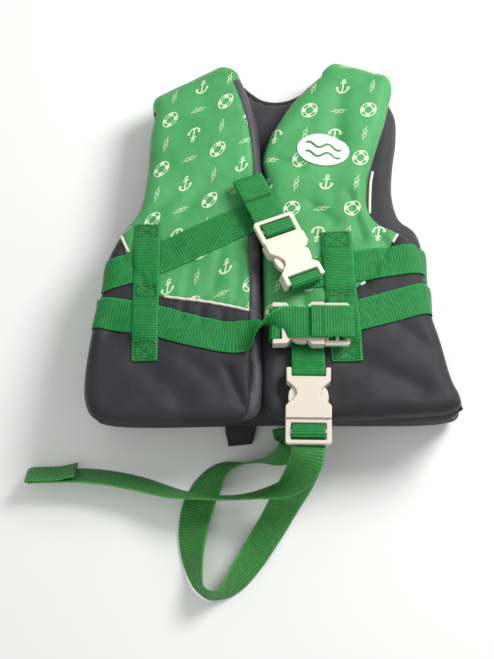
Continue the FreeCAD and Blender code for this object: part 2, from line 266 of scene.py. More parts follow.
def plain_cloth(name, dark, light, rough=0.62):
    """Plain woven cloth in one dyed colour: slightly uneven, with a faint bloom."""
    material, tree, shader, place = new_material(name, rough, sheen=0.04)
    x = add_node(tree, "ShaderNodeSeparateXYZ", {0: place})
    y, z = x.output(1), x.output(2)
    patches = add_node(tree, "ShaderNodeTexNoise",
                       {"Vector": place, "Scale": 1 / 30.0, "Detail": 3.0})
    creases = add_node(tree, "ShaderNodeTexNoise",
                       {"Vector": place, "Scale": 1 / 21.0, "Detail": 2.0})
    finish(tree, shader, patches, colour(dark), colour(light),
           creases * 2.5 + woven(x + z, y, PLAIN_THREAD) * 0.05, 1.0, 0.5)
    return material


def webbing_cloth(name, dark, light):
    """Woven polypropylene: rows across it, each a line of small raised stitches. Its colour is
    painted lighter on the stitches, as a highlight, and darker in the gaps between them, as
    shade."""
    material, tree, shader, place = new_material(name, 0.5, specular=0.2)
    weave = add_node(tree, "ShaderNodeTexCoord", output="UV")
    across = add_node(tree, "ShaderNodeSeparateXYZ", {0: weave})
    along = across.output(1)
    row = (along * (2 * math.pi / WEB_ROW)).sine()
    stitch = ((across + along * 0.4) * (2 * math.pi / WEB_STITCH)).sine()
    height = row * 0.6 + stitch * (row * 0.5 + 0.5) * 0.4
    patches = add_node(tree, "ShaderNodeTexNoise",
                       {"Vector": place, "Scale": 1 / 4.0, "Detail": 3.0})
    # painted light: the tone is lighter on the raised stitches and at the bound edges, as
    # highlights, and darker in the gaps, as shade; the patches are random
    tone = height * 0.3 + 0.25 + patches * 0.4 + (abs(across) > WEB_EDGE) * 0.25
    finish(tree, shader, tone, colour(dark), colour(light), height, 0.22, 0.9)
    return material


def moulded_plastic(name, code, rough):
    """Injection-moulded plastic with a very fine spark-eroded grain, so that its gloss is
    soft, and a little light passes under its surface."""
    material, tree, shader, place = new_material(name, rough)
    grain = add_node(tree, "ShaderNodeTexNoise",
                     {"Vector": place, "Scale": 1 / 0.35, "Detail": 3.0})
    tint = add_node(tree, "ShaderNodeTexNoise",
                    {"Vector": place, "Scale": 1 / 9.0, "Detail": 3.0})
    shader.inputs["Subsurface Weight"].default_value = 0.12
    shader.inputs["Subsurface Radius"].default_value = (0.003, 0.0024, 0.0018)
    shader.inputs["Subsurface Scale"].default_value = 1.0
    finish(tree, shader, tint * 0.25, colour(code), colour("d9d2c4"), grain, 0.02, 0.4)
    return material


def closed_cell_foam(name):
    """Expanded foam, cut from sheet: matt, with fine pits."""
    material, tree, shader, place = new_material(name, 0.85)
    cells = add_node(tree, "ShaderNodeTexNoise",
                     {"Vector": place, "Scale": 1 / 0.9, "Detail": 4.0})
    finish(tree, shader, cells, colour("c9c9c4"), colour("ecece8"), cells, 0.2, 0.6)
    return material


# Dyed and printed polyester for the upper covers and shoulders. Each side was cut with
# its own lean: the rows' angle, the columns' lean, their spacings, and one ring's place.
PRINT_RIGHT = printed_cloth("printed_polyester_right", math.radians(21), math.radians(8),
                            (24.0, 22.2), (-88.3, 50.7))
PRINT_LEFT = printed_cloth("printed_polyester_left", math.radians(1), math.radians(10),
                           (24.0, 22.0), (23.0, 60.0))
# Dark grey nylon taffeta for the lower covers and back, nearly black in its folds.
GREY = plain_cloth("grey_nylon", "161618", "343337")
# The lining is a softer, flatter nylon, and the edge band a smoother and paler one.
LINING = plain_cloth("grey_nylon_lining", "262628", "454447", 0.7)
BAND = plain_cloth("grey_nylon_band", "403d42", "575359", 0.55)
# Polypropylene webbing, and a copy of the same webbing painted paler, as if more lit, for the
# free strap.
BELT = webbing_cloth("green_webbing", "05451a", "2fa552")
PAINTED_LIT_WEBBING = webbing_cloth("green_webbing_painted_lit", "165424", "55ac54")
# Cotton-covered piping cord, cream and matt.
PIPING = plain_cloth("cream_piping", "cfc9b8", "f1ecdf", 0.6)
# Acetal, moulded in ivory: hard, smooth and half glossy.
PLASTIC = moulded_plastic("ivory_acetal", "ddd3c3", 0.34)
# Soft PVC for the patch: whiter than the buckles, and duller.
RUBBER_PATCH = moulded_plastic("white_soft_patch", "f2f2ee", 0.5)
# Polyethylene foam, which only shows if a cover is taken off.
FOAM = closed_cell_foam("closed_cell_foam")
# Bonded polyester thread, darker than the webbing that it sews.
THREAD = plain_cloth("dark_green_thread", "24411f", "3c5c2f", 0.7)


# ---------------------------------------------------------------- outlines

# The fronts' free edges, the seams between green and grey, and the right front's band.
RIGHT_EDGE = [
    (-95, 104), (-98, 85), (-100, 48), (-106, 17), (-117, 1), (-125.5, -15), (-130.5, -30),
    (-132.5, -50), (-137, -70), (-141, -95), (-143.5, -120), (-143, -138), (-138, -151),
    (-128, -156.5), (-108, -158), (-55, -158), (-25, -156), (-13, -151), (-8.7, -138),
    (-8.7, -70), (-8.7, 0), (-6, 40), (-8.5, 58), (-11, 90), (-17.5, 116), (-27, 141)]
RIGHT_SEAM = [(-135, 6), (-120, -4), (-113, -27), (-94, -55), (-88, -57.5), (-52, -62),
              (0, -72)]
RIGHT_BAND = [(-36, 150), (-33, 137.7), (-25, 114), (-19, 90), (-15, 52), (-18, 0),
              (-18, -70), (-18, -140), (-25, -165)]
LEFT_EDGE = [
    (41.5, 141), (31, 131), (19.5, 118), (7, 99), (-1.3, 84), (-7.5, 62), (-5, 40), (-7.7, 0),
    (-7.7, -70), (-7.7, -140), (-3, -152), (12, -156), (42.5, -156), (100, -153), (134, -149.5),
    (142, -144), (141.5, -136), (136, -123), (128.5, -91), (122, -67), (119, -42),
    (111, -10), (99, -1), (84, 7), (77, 17), (76, 35), (79, 53), (92.5, 98), (99, 125)]
LEFT_SEAM = [(-20, -77), (-7.7, -76), (38, -71), (63.5, -51), (71, -46), (93, -14),
             (99, -3.5), (112, 8)]
# The back: its free edge, its neckline, and where each shoulder starts and ends.
BACK_EDGE = [
    (-95, 103.6), (-98, 85), (-100, 48), (-106, 17), (-117, 1), (-125.5, -15),
    (-130.5, -30), (-132.5, -50), (-137, -70), (-141, -95), (-142, -125), (-139, -145),
    (-128, -149.5), (0, -149.5), (134, -148), (146, -144), (148, -135), (131, -91),
    (124, -42), (123, -5), (117, 12), (105, 22), (99.5, 42), (100.6, 67), (104, 90),
    (104, 112), (99, 124.5)]
NECKLINE = [(41.5, 140.5), (30, 133), (16, 125.5), (4, 123.5), (-8, 125.5), (-18, 132),
            (-27, 140.5)]
SHOULDERS = {"right": ((-95, 103.6), (-27, 140.5)), "left": ((41.5, 140.5), (99, 124.5))}


def smooth(points, step=3.0):
    """A smooth open curve through the points, with its own points about step apart."""
    points = np.asarray(points, float)
    ends = [2 * points[0] - points[1], *points, 2 * points[-1] - points[-2]]
    curve = []
    for a, b, c, d in zip(ends, ends[1:], ends[2:], ends[3:]):
        ta = np.linalg.norm(b - a) ** 0.5
        tb = ta + np.linalg.norm(c - b) ** 0.5
        tc = tb + np.linalg.norm(d - c) ** 0.5
        count = max(2, int(np.linalg.norm(c - b) / step + 0.5))
        for t in np.linspace(ta, tb, count, endpoint=False):
            ab = (ta - t) / ta * a + t / ta * b
            bc = (tb - t) / (tb - ta) * b + (t - ta) / (tb - ta) * c
            cd = (tc - t) / (tc - tb) * c + (t - tb) / (tc - tb) * d
            abc = (tb - t) / tb * ab + t / tb * bc
            bcd = (tc - t) / (tc - ta) * bc + (t - ta) / (tc - ta) * cd
            curve.append((tb - t) / (tb - ta) * abc + (t - ta) / (tb - ta) * bcd)
    curve.append(points[-1])
    return np.array(curve)


def unit(vectors):
    """The same directions, each 1 long."""
    return vectors / np.linalg.norm(vectors, axis=1)[:, None]


def straight(start, end, step=3.0):
    """Points along a straight line, without its two ends."""
    start, end = np.asarray(start, float), np.asarray(end, float)
    count = max(2, int(np.linalg.norm(end - start) / step))
    return np.array([start + (end - start) * i / count for i in range(1, count)])


def nearest(points, line):
    """The nearest point on a line of many short runs, for each point."""
    start, run = line[:-1], np.diff(line, axis=0)
    reach = points[:, None] - start[None]
    share = np.clip((reach * run).sum(2) / (run * run).sum(1), 0, 1)
    away = np.linalg.norm(reach - share[..., None] * run, axis=2)
    best, rows = away.argmin(1), np.arange(len(points))
    return start[best] + run[best] * share[rows, best][:, None]


def distance(points, line):
    """How far each point is from a line of many short runs."""
    return np.linalg.norm(points - nearest(points, line), axis=1)


def inside(points, outline):
    """Which points are inside a closed outline."""
    x, y = points[:, 0, None], points[:, 1, None]
    ax, ay = outline.T
    bx, by = np.roll(outline, -1, axis=0).T
    crosses = (ay > y) != (by > y)
    rise = np.where(by == ay, 1e-9, by - ay)
    hits = crosses & (x < (bx - ax) * (y - ay) / rise + ax)
    return hits.sum(1) % 2 == 1


def cut_cloth(outline, lines=(), cell=CELL):
    """Triangles that fill an outline and follow the seam lines across it."""
    low, high = outline.min(0), outline.max(0)
    rows = []
    for j, y in enumerate(np.arange(low[1], high[1], cell * 0.866)):
        xs = np.arange(low[0] + (j % 2) * cell / 2, high[0], cell)
        rows.append(np.stack([xs, np.full_like(xs, y)], axis=1))
    grid = np.concatenate(rows)
    grid = grid[inside(grid, outline)]
    grid = grid[distance(grid, np.vstack([outline, outline[:1]])) > cell * 0.6]
    for line in lines:
        grid = grid[distance(grid, line) > cell * 0.6]
    points, edges = list(outline), []
    for line in lines:
        first = len(points)
        points += list(line)
        edges += [(first + i, first + i + 1) for i in range(len(line) - 1)]
    points += list(grid)
    face = [list(range(len(outline)))]
    made = geometry.delaunay_2d_cdt([Vector(p) for p in points], edges, face, 1, 1e-4)
    flat = np.array([tuple(p) for p in made[0]])
    return flat, np.array(made[2])


# ---------------------------------------------------------------- meshes

def placed(name, mesh, material, nodes, body):
    """A smooth piece that rides on its body and stands for CAD nodes.

    A piece given no body is left unattached. One with no node is thread or a hem.
    """
    mesh.shade_smooth()
    piece = bpy.data.objects.new(name, mesh)
    bpy.context.scene.collection.objects.link(piece)
    mesh.materials.append(material)
    if body:
        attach(piece, body)
    if nodes:
        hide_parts(*([nodes] if isinstance(nodes, str) else nodes))
    return piece


def new_piece(name, points, faces, material, nodes, body="vest"):
    """A piece from points in mm."""
    mesh = bpy.data.meshes.new(name)
    mesh.from_pydata([tuple(p) for p in np.asarray(points) * MM], [],
                     [tuple(f) for f in faces])
    mesh.validate()
    return placed(name, mesh, material, nodes, body)


def finished(name, made, material, nodes, body="vest"):
    """A piece from a bmesh, in metres, with its faces pointing outwards."""
    bmesh.ops.recalc_face_normals(made, faces=made.faces)
    mesh = bpy.data.meshes.new(name)
    made.to_mesh(mesh)
    made.free()
    return placed(name, mesh, material, nodes, body)


def mapped(piece, name, places):
    """A UV map of where each point lies on the flat cloth or webbing, in mm."""
    layer = piece.data.uv_layers.new(name=name)
    for loop in piece.data.loops:
        layer.data[loop.index].uv = places[loop.vertex_index]


def compact(points, faces):
    """Only the points that these faces use."""
    used, index = np.unique(faces, return_inverse=True)
    return points[used], index.reshape(faces.shape)


def cloth_thickness(piece, thick=CLOTH):
    """Gives an open sheet its thickness, inwards."""
    solid = piece.modifiers.new("thickness", "SOLIDIFY")
    solid.thickness = thick * MM
    solid.offset = -1.0
    return piece


def closed_pad(flat, faces, top, bottom):
    """The two sides of a pad, joined along their outline."""
    count = len(flat)
    points = np.vstack([np.column_stack([flat, top]), np.column_stack([flat, bottom])])
    sides = {}
    for a, b, c in faces:
        for edge in ((a, b), (b, c), (c, a)):
            sides[tuple(sorted(edge))] = None if tuple(sorted(edge)) in sides else edge
    walls = []
    for edge in sides.values():
        if edge:
            a, b = edge
            walls += [(b, a, a + count), (b, a + count, b + count)]
    return points, np.vstack([faces, faces[:, ::-1] + count, np.array(walls)])


def rolled(reach, radius):
    """0 at a free edge, 1 once radius inside it, along a quarter round."""
    inner = np.clip(reach / radius, 0, 1)
    return np.sqrt(1 - (1 - inner) ** 2)


def ripple(points, size, seed):
    """Gentle unevenness, -1 to 1."""
    return np.array([noise.noise(Vector((p[0] / size, p[1] / size, seed))) for p in points])


# ---------------------------------------------------------------- the two fronts

# where the belts press in, from right to left
BELT_LINES = {
    "chest_right": smooth([(-140, -43), (-97, -29.6), (-6, 14.7)]),
    "chest_left": smooth([(14, -41), (33.5, -38.2), (63, -33.2), (134, -23.5)]),
    "waist_right": smooth([(-148, -67.5), (-89, -78.6), (-63, -86), (-31, -92), (-20, -90)]),
    "waist_left": smooth([(2, -85.6), (20.5, -85.6), (66.6, -73.7), (138, -54)]),
}

# soft creases in the covers: start, end, depth and half width
CREASES = {
    "right": [
        ((-104, 8), (-78, 26), 0.9, 5.0), ((-70, 12), (-52, 40), 0.6, 6.0),
        ((-46, -50), (-40, -20), 0.9, 4.5), ((-66, -52), (-64, -26), 0.8, 5.0),
        ((-28, -58), (-26, -30), 0.6, 4.0), ((-56, -67), (-55, -78), 0.7, 2.5),
        ((-40, -69), (-39, -80), 0.7, 2.5), ((-70, -66), (-70, -76), 0.6, 2.5),
        ((-122, -86), (-70, -140), 2.2, 12.0), ((-84, -98), (-40, -128), 1.2, 9.0),
        ((-22, -148), (-36, -116), 1.6, 4.0), ((-14, -152), (-17, -112), 1.3, 2.2),
        ((-60, 122), (-44, 96), 0.6, 8.0)],
    "left": [
        ((3, 60), (22, 54), 1.3, 4.0), ((32, 20), (48, 6), 1.3, 4.5),
        ((62, 30), (70, -8), 1.5, 4.5), ((80, 6), (88, -14), 1.2, 5.0),
        ((22, -44), (24, -66), 1.0, 4.5), ((34, -10), (38, -30), 1.0, 5.0),
        ((56, 118), (52, 70), 1.4, 7.0), ((12, -100), (8, -140), 1.3, 8.0),
        ((60, -108), (110, -132), 1.8, 10.0), ((98, -84), (124, -104), 1.2, 7.0),
        ((30, -80), (52, -96), 0.9, 5.0)],
}

# where the foam swells the covers most: x, v and how much
CROWNS = {"right": [((-80, -120), 3.0), ((-58, 78), 1.5)],
          "left": [((92, -112), 3.0), ((52, 98), 1.5)]}
CROWN_REACH = 38

FOAM_GAP = 2.0  # between the foam and its cover
FOAM_SWELL = 7.8
FOAM_SHARE = 0.96  # of the cover's size


class Front:
    """One front: its outline, the seams across it and the shape of its two sides."""

    def __init__(self, side, edge, seam, band=None):
        self.side = side
        self.edge = smooth(edge)
        self.outline = np.vstack([self.edge, straight(edge[-1], edge[0])])
        self.seam = smooth(seam)
        self.band = smooth(band) if band else None
        self.belts = [line for name, line in BELT_LINES.items() if name.endswith(side)]

    def reach(self, flat):
        """How far inside the free edges these points are, less than 0 outside."""
        away = distance(flat, self.edge)
        return np.where(inside(flat, self.outline), away, -away)

    def height(self, flat, lift=0.0):
        """How far the outside of the cover, or a layer on it, stands out."""
        reach = self.reach(flat)
        high = FRONT_MIDDLE + (FRONT_SWELL + lift) * rolled(reach + lift, FRONT_ROLL + lift)
        high -= 1.3 * np.exp(-(distance(flat, self.seam) / 3.5) ** 2)
        if self.band is not None:
            high -= 0.9 * np.exp(-(distance(flat, self.band) / 2.5) ** 2)
        for line in self.belts:
            high -= 1.1 * np.exp(-(distance(flat, line) / GROOVE) ** 6)
        soft = np.clip(reach / FRONT_ROLL, 0, 1)
        high += soft * (1.1 * ripple(flat, 40.0, 1.0) + 0.45 * ripple(flat, 15.0, 5.0) - 0.5)
        below = distance(flat, self.seam)
        gathers = 0.5 + 0.5 * np.sin(flat[:, 0] * 0.8 + 2.5 * ripple(flat, 18.0, 9.0))
        high -= soft * 0.8 * gathers * np.exp(-below / 7.0)
        if self.band is not None:
            gathers = 0.5 + 0.5 * np.sin(flat[:, 1] * 0.55 + 2.5 * ripple(flat, 22.0, 12.0))
            high -= soft * 0.5 * gathers * np.exp(-distance(flat, self.band) / 6.0)
        for centre, crown in CROWNS[self.side]:
            away = np.linalg.norm(flat - np.array(centre), axis=1)
            high += soft * crown * np.exp(-(away / CROWN_REACH) ** 2)
        for start, end, depth, wide in CREASES[self.side]:
            line = np.array([start, end], float)
            high -= soft * 2.0 * depth * np.exp(-(distance(flat, line) / wide) ** 2)
        return high

    def lower(self, flat):
        """The lining's height at these points."""
        return FRONT_MIDDLE - FRONT_SWELL * rolled(distance(flat, self.edge), FRONT_ROLL)

    def region(self, centres):
        """0 above the seam, 1 below it and 2 on the edge band."""
        seam_at = np.interp(centres[:, 0], self.seam[:, 0], self.seam[:, 1])
        kind = (centres[:, 1] < seam_at).astype(int)
        if self.band is not None:
            order = self.band[::-1]
            kind[centres[:, 0] > np.interp(centres[:, 1], order[:, 1], order[:, 0])] = 2
        return kind

    def build(self, print_cloth):
        """The covers, the lining under them and the foam inside."""
        lines = [self.seam] if self.band is None else [self.seam, self.band]
        flat, faces = cut_cloth(self.outline, lines)
        points = from_front(np.column_stack([flat, self.height(flat)]))
        kind = self.region(flat[faces].mean(1))
        names = [("upper_cover", print_cloth), ("lower_cover", GREY), ("edge_band", BAND)]
        for index, (name, material) in enumerate(names):
            if np.any(kind == index):
                node = f"front_{self.side}_{name}"
                piece = new_piece(f"{node}_cloth", *compact(points, faces[kind == index]),
                                  material, node)
                mapped(piece, "cloth",
                       [(v.co.x / MM, v.co.y / MM) for v in piece.data.vertices])
                cloth_thickness(piece)
        under = from_front(np.column_stack([flat, self.lower(flat)]))
        node = f"front_{self.side}_lining"
        piece = new_piece(f"{node}_cloth", *compact(under, faces[:, ::-1]), LINING, node)
        cloth_thickness(piece)
        self.fill(flat, faces, kind)

    def fill(self, flat, faces, kind):
        """The foam inside, a little smaller than the cover."""
        for index, name in enumerate(("upper_foam", "lower_foam")):
            here = self.above(flat, faces) == (index == 0)
            chosen = (kind == index) | ((kind == 2) & here)
            part, part_faces = compact(flat, faces[chosen])
            middle = part.mean(0)
            reach = distance(part, self.edge)
            shrunk = middle + (part - middle) * FOAM_SHARE
            top = np.minimum(self.height(shrunk), self.height(part)) - FOAM_GAP
            top = np.maximum(top, FRONT_MIDDLE)
            bottom = FRONT_MIDDLE - FOAM_SWELL * rolled(reach, FRONT_ROLL)
            points, walls = closed_pad(shrunk, part_faces, top, bottom)
            node = f"front_{self.side}_{name}"
            piece = new_piece(f"{node}_slab", from_front(points), walls, FOAM, node)

    def above(self, flat, faces):
        """Which triangles are above the seam."""
        centres = flat[faces].mean(1)
        return centres[:, 1] > np.interp(centres[:, 0], self.seam[:, 0], self.seam[:, 1])


FRONTS = {"right": Front("right", RIGHT_EDGE, RIGHT_SEAM, RIGHT_BAND),
          "left": Front("left", LEFT_EDGE, LEFT_SEAM)}
FRONTS["right"].build(PRINT_RIGHT)
FRONTS["left"].build(PRINT_LEFT)


# ---------------------------------------------------------------- the back

# where each belt leaves the fronts and how wide the back is there: x, y, z
BACK_BELTS = {
    "chest_belt_back": ((-131.3, -41.8, 50.0), -133.2, (115.2, -25.3, 48.5), 124.8),
    "waist_belt_back": ((-136.4, -70.2, 52.5), -138.0, (121.2, -58.0, 51.5), 127.2),
}
BACK_SEAM = -48  # where its two slabs of foam meet


def build_back():
    """The lining and cover, and two slabs of foam between them."""
    edge = smooth(BACK_EDGE)
    neck = smooth(NECKLINE)
    outline = np.vstack([edge, straight(BACK_EDGE[-1], NECKLINE[0]), neck,
                         straight(NECKLINE[-1], BACK_EDGE[0])])
    flat, faces = cut_cloth(outline, cell=CELL * 1.4)
    reach = np.minimum(distance(flat, edge), distance(flat, neck))
    bulge = BACK_MIDDLE * rolled(reach, BACK_ROLL)
    uneven = np.clip(reach / BACK_ROLL, 0, 1) * (0.6 * ripple(flat, 42.0, 3.0) - 0.5)
    top = BACK_MIDDLE + 0.3 + bulge + uneven
    low = BACK_MIDDLE + 0.3 - bulge
    for (_, right_y, _), _, (_, left_y, _), _ in BACK_BELTS.values():
        line = np.array([(-160, right_y - 1), (150, left_y + 1)], float)
        low += 1.7 * np.exp(-(distance(flat, line) / GROOVE) ** 8)
    for node, high, sides, material in (("back_lining", top, faces, LINING),
                                        ("back_cover", low, faces[:, ::-1], GREY)):
        piece = new_piece(f"{node}_cloth", np.column_stack([flat, high]), sides, material,
                          node)
        cloth_thickness(piece)
    above = flat[faces].mean(1)[:, 1] > BACK_SEAM
    for node, chosen in (("back_upper_foam", above), ("back_lower_foam", ~above)):
        part, part_faces = compact(flat, faces[chosen])
        middle = part.mean(0)
        reach = np.minimum(distance(part, edge), distance(part, neck))
        bulge = (BACK_MIDDLE - 2.8) * rolled(reach, BACK_ROLL)
        shrunk = middle + (part - middle) * 0.965
        points, walls = closed_pad(shrunk, part_faces, 12.6 + bulge, BACK_MIDDLE - bulge)
        new_piece(f"{node}_slab", points, walls, FOAM, node)


build_back()

SHOULDER_OVERLAP = 8.0  # how far it lies on the front
SHOULDER_REACH = 16.6  # how far it stands out past the front's top


def build_shoulder(side, print_cloth):
    """The padded fold over the shoulder, from the front's top round to the back."""
    start, end = (np.array(p, float) for p in SHOULDERS[side])
    run = end - start
    span = np.linalg.norm(run)
    outward = np.array([-run[1], run[0]]) / span
    count = int(span / 1.6)
    reach = np.linspace(0.4, span - 0.4, count + 1)
    puff = rolled(np.minimum(reach, span - reach), 10.0)
    lines = start + run * (reach / span)[:, None]
    rows = []
    for back, lift in ((SHOULDER_OVERLAP, -0.8), (5.5, -0.1), (3.0, 0.1), (0.5, 0.12)):
        flat = lines - outward * back
        rows.append(from_front(np.column_stack([flat, FRONTS[side].height(flat) + lift])))
    top = rows[-1][:, 2]
    for angle in np.linspace(0.12, math.pi, 22):
        out = SHOULDER_REACH * puff * math.sin(angle) + 0.2
        high = 0.5 + (top - 0.5) * (1 + math.cos(angle)) / 2
        rows.append(np.column_stack([lines + outward * out[:, None], high]))
    rows.append(np.column_stack([lines - outward * 6.0, np.full(count + 1, 0.4)]))
    points = np.concatenate(rows)
    gone = [np.zeros(count + 1)]
    for before, after in zip(rows, rows[1:]):
        gone.append(gone[-1] + np.linalg.norm(after - before, axis=1))
    flat = np.concatenate([lines + outward * (far - SHOULDER_OVERLAP)[:, None]
                           for far in gone])
    faces = [(j * (count + 1) + i, j * (count + 1) + i + 1, (j + 1) * (count + 1) + i + 1,
              (j + 1) * (count + 1) + i) for j in range(len(rows) - 1) for i in range(count)]
    node = f"shoulder_{side}"
    piece = new_piece(f"{node}_fold", points, faces, print_cloth, node)
    mapped(piece, "cloth", flat)
    cloth_thickness(piece, 0.5)


build_shoulder("right", PRINT_RIGHT)
build_shoulder("left", PRINT_LEFT)

# the closed sides, each from one end to the other so that its left is inwards
GUSSETS = {
    "right": [(-115.5, 0), (-123.5, -16), (-128.3, -30), (-130.3, -50),
              (-134.8, -70), (-138.8, -95), (-140.3, -120), (-136, -146)],
    "left": [(143, -146), (134.5, -123), (127, -91), (120.2, -67),
             (117.2, -42), (109.5, -10), (99, -3)],
}


def build_gusset(side):
    """The cloth that closes a side, folded inwards between the back and the front."""
    path = smooth(GUSSETS[side])
    tangent = np.gradient(path, axis=0)
    inward = unit(np.column_stack([-tangent[:, 1], tangent[:, 0]]))
    rows, low = 12, 20
    points = []
    for (x, y), (nx, ny) in zip(path, inward):
        high = FRONT_HEIGHT - y * math.tan(TILT) - FRONT_THICK + 5
        for share in np.linspace(0, 1, rows):
            sink = 5.0 * math.sin(math.pi * share) - 1.5
            points.append((x + nx * sink, y + ny * sink, low + (high - low) * share))
    faces = []
    for i in range(len(path) - 1):
        for j in range(rows - 1):
            a = i * rows + j
            faces.append((a, a + rows, a + rows + 1, a + 1))
    node = f"side_gusset_{side}"
    piece = new_piece(f"{node}_cloth", points, faces, GREY, node)
    cloth_thickness(piece, 0.9)


build_gusset("right")
build_gusset("left")


# ---------------------------------------------------------------- webbing

def runs_of(line):
    """The length of each short run of a line."""
    return np.linalg.norm(np.diff(line, axis=0), axis=1)


def webbing(name, centres, sides, nodes, body="vest", width=WEBBING, material=BELT,
            drape=None):
    """A strip of webbing along centres, its width along sides, all in mm."""
    centres, sides = np.asarray(centres, float), unit(np.asarray(sides, float))
    normals = np.cross(unit(np.gradient(centres, axis=0)), sides)
    lengths = np.concatenate([[0], np.cumsum(runs_of(centres))])
    across = np.linspace(-1, 1, 13)
    edge = 1 - 0.55 * np.abs(across) ** 8  # its thickness, less at its two edges
    halves = np.broadcast_to(np.asarray(width, float) / 2, len(centres))
    points, uvs = [], []
    for centre, side, normal, along, half in zip(centres, sides, normals, lengths, halves):
        for sign in (1, -1):
            for a, e in zip(across[::sign], edge[::sign]):
                points.append(centre + side * a * half + normal * sign * e * WEB_THICK / 2)
                uvs.append((a * WEBBING / 2, along))
    points = np.array(points)
    if drape is not None:
        points = drape(points)
    around = 2 * len(across)
    faces = []
    for i in range(len(centres) - 1):
        for j in range(around):
            a, b = i * around + j, i * around + (j + 1) % around
            faces.append((a, a + around, b + around, b))
    faces.append(tuple(range(around)))
    last = (len(centres) - 1) * around
    faces.append(tuple(range(last, last + around))[::-1])
    piece = new_piece(name, points, faces, material, nodes, body)
    mapped(piece, "weave", uvs)
    return piece


def lying(side, lift):
    """Lays a strip drawn flat in (x, v, w) onto a front, and down over its edge."""
    front = FRONTS[side]

    def drape(points):
        flat = np.ascontiguousarray(points[:, :2])
        past = np.minimum(front.reach(flat) + lift, 0)[:, None]
        edge = nearest(flat, front.edge)
        outward = flat - edge
        outward /= np.maximum(np.linalg.norm(outward, axis=1), 1e-6)[:, None]
        flat = flat + outward * past
        high = front.height(flat, lift) + past[:, 0]
        return from_front(np.column_stack([flat, high + points[:, 2]]))
    return drape


def flat_strip(path):
    """Centres and sideways directions of a strip drawn flat."""
    centres = np.column_stack([path, np.zeros(len(path))])
    tangents = np.gradient(centres, axis=0)
    return centres, np.column_stack([-tangents[:, 1], tangents[:, 0], np.zeros(len(path))])


# the belts on the fronts, from right to left
FRONT_BELTS = {
    "chest_belt_right": ("right", [(-137, -42.5), (-97, -29.6), (-6, 14.7)]),
    "chest_belt_left": ("left", [(14, -41), (33.5, -38.2), (63, -33.2), (121, -24.5)]),
    "waist_belt_right": ("right", [(-142, -69), (-89, -78.6), (-63, -86), (-31, -92),
                                   (-24, -91)]),
    "waist_belt_left": ("left", [(2, -85.6), (20.5, -85.6), (66.6, -73.7), (127, -56.5)]),
}
for node, (side, path) in FRONT_BELTS.items():
    centres, across = flat_strip(smooth(path, 1.6))
    webbing(f"{node}_webbing", centres, across, node, drape=lying(side, BELT_LIFT))

for node, (right_top, right_x, left_top, left_x) in BACK_BELTS.items():
    low_right, low_left = right_top[1], left_top[1]
    profile = smooth([right_top, (right_x + 0.3, low_right, 38), (right_x, low_right, 20),
                      (right_x + 0.4, low_right, 9), (right_x + 4, low_right, 2.8),
                      (right_x + 11, low_right, 0.9), (0, (low_right + low_left) / 2, 0.9),
                      (left_x - 11, low_left, 0.9), (left_x - 4, low_left, 2.8),
                      (left_x - 0.4, low_left, 9), (left_x, low_left, 20),
                      ((left_x + left_top[0]) / 2 + 1, low_left, 38), left_top], 3.0)
    across = np.tile([0.0, 1.0, 0.0], (len(profile), 1))
    webbing(f"{node}_webbing", profile, across, node)

# ---------------------------------------------------------------- the buckles' webbing

# where each buckle lies on the fronts: x, v, w, the angle of its length, and its roll
BUCKLES = {
    "chest": (-1.9, 1.2, 6.5, -64.4, -12.0),
    "waist": (57.8, -85.3, 4.0, 180.0, 0.0),
    "crotch": (25.4, -178.0, 0.5, 89.2, 0.0),
}


def from_buckle(name, points):
    """Points of a buckle's own frame in the jacket's own, both in mm."""
    x, v, w, angle, roll = BUCKLES[name]
    along, side, out = np.asarray(points, float).T
    angle, roll = math.radians(angle), math.radians(roll)
    flat = side * math.cos(roll) - out * math.sin(roll)
    high = side * math.sin(roll) + out * math.cos(roll)
    return from_front(np.column_stack([
        x + along * math.cos(angle) - flat * math.sin(angle),
        v + along * math.sin(angle) + flat * math.cos(angle), w + high]))


def buckle_webbing(node, buckle, path, body):
    """Webbing that bends in the upright plane along a buckle's middle."""
    profile = smooth(path, 0.8)
    centres = np.column_stack([profile[:, 0], np.zeros(len(profile)), profile[:, 1]])
    across = np.tile([0.0, 1.0, 0.0], (len(centres), 1))
    return webbing(f"{node}_strip", centres, across, node, body,
                   drape=lambda points: from_buckle(buckle, points))


# Paths along a buckle's middle: along it and out from it, in its own frame.
AROUND_BAR = [(5.2, 4.6), (5.2, 8.9), (6.6, 9.9), (12.4, 9.9), (13.8, 8.9), (13.8, 1.6)]
buckle_webbing("chest_tail", "chest",
               [(-21.5, 3.2), (-30, 2.5), (-39.5, 1.9), (-42.4, 0.7), (-39.5, -0.4),
                (-30, 0.4), (-12, 2.0), (-4, 2.6), (2.6, 2.8), *AROUND_BAR, (12.5, 0.7),
                (4, 0.6), (-4, 0.5), (-9, 0.0)], "chest_plug")
buckle_webbing("crotch_adjuster_webbing", "crotch",
               [(-2.4, 2.9), (2.8, 2.9), *AROUND_BAR, (12.5, 0.9), (4, 0.8), (-2.4, 0.8)],
               "crotch_plug")
ROUND_PIN = [(58.8, -0.8), (60.2, 0.6), (60.4, 6.4), (59.0, 8.2), (54.0, 8.2), (52.7, 7.0),
             (52.7, 1.6)]
for buckle in ("chest", "waist"):
    buckle_webbing(f"{buckle}_socket_webbing", buckle, [(46, -1.0), (56, -1.0), *ROUND_PIN],
                   "vest")
buckle_webbing("crotch_tab", "crotch",
               [(82, -2.5), (76, 1.2), (66, 3.4), (60.0, 7.0), (57.5, 8.2), (54.0, 8.2),
                (52.7, 7.0), (52.7, 3.4), (54.2, 2.2), (58, 2.2), (64, 0.4), (79.5, -2.4)],
               "vest")


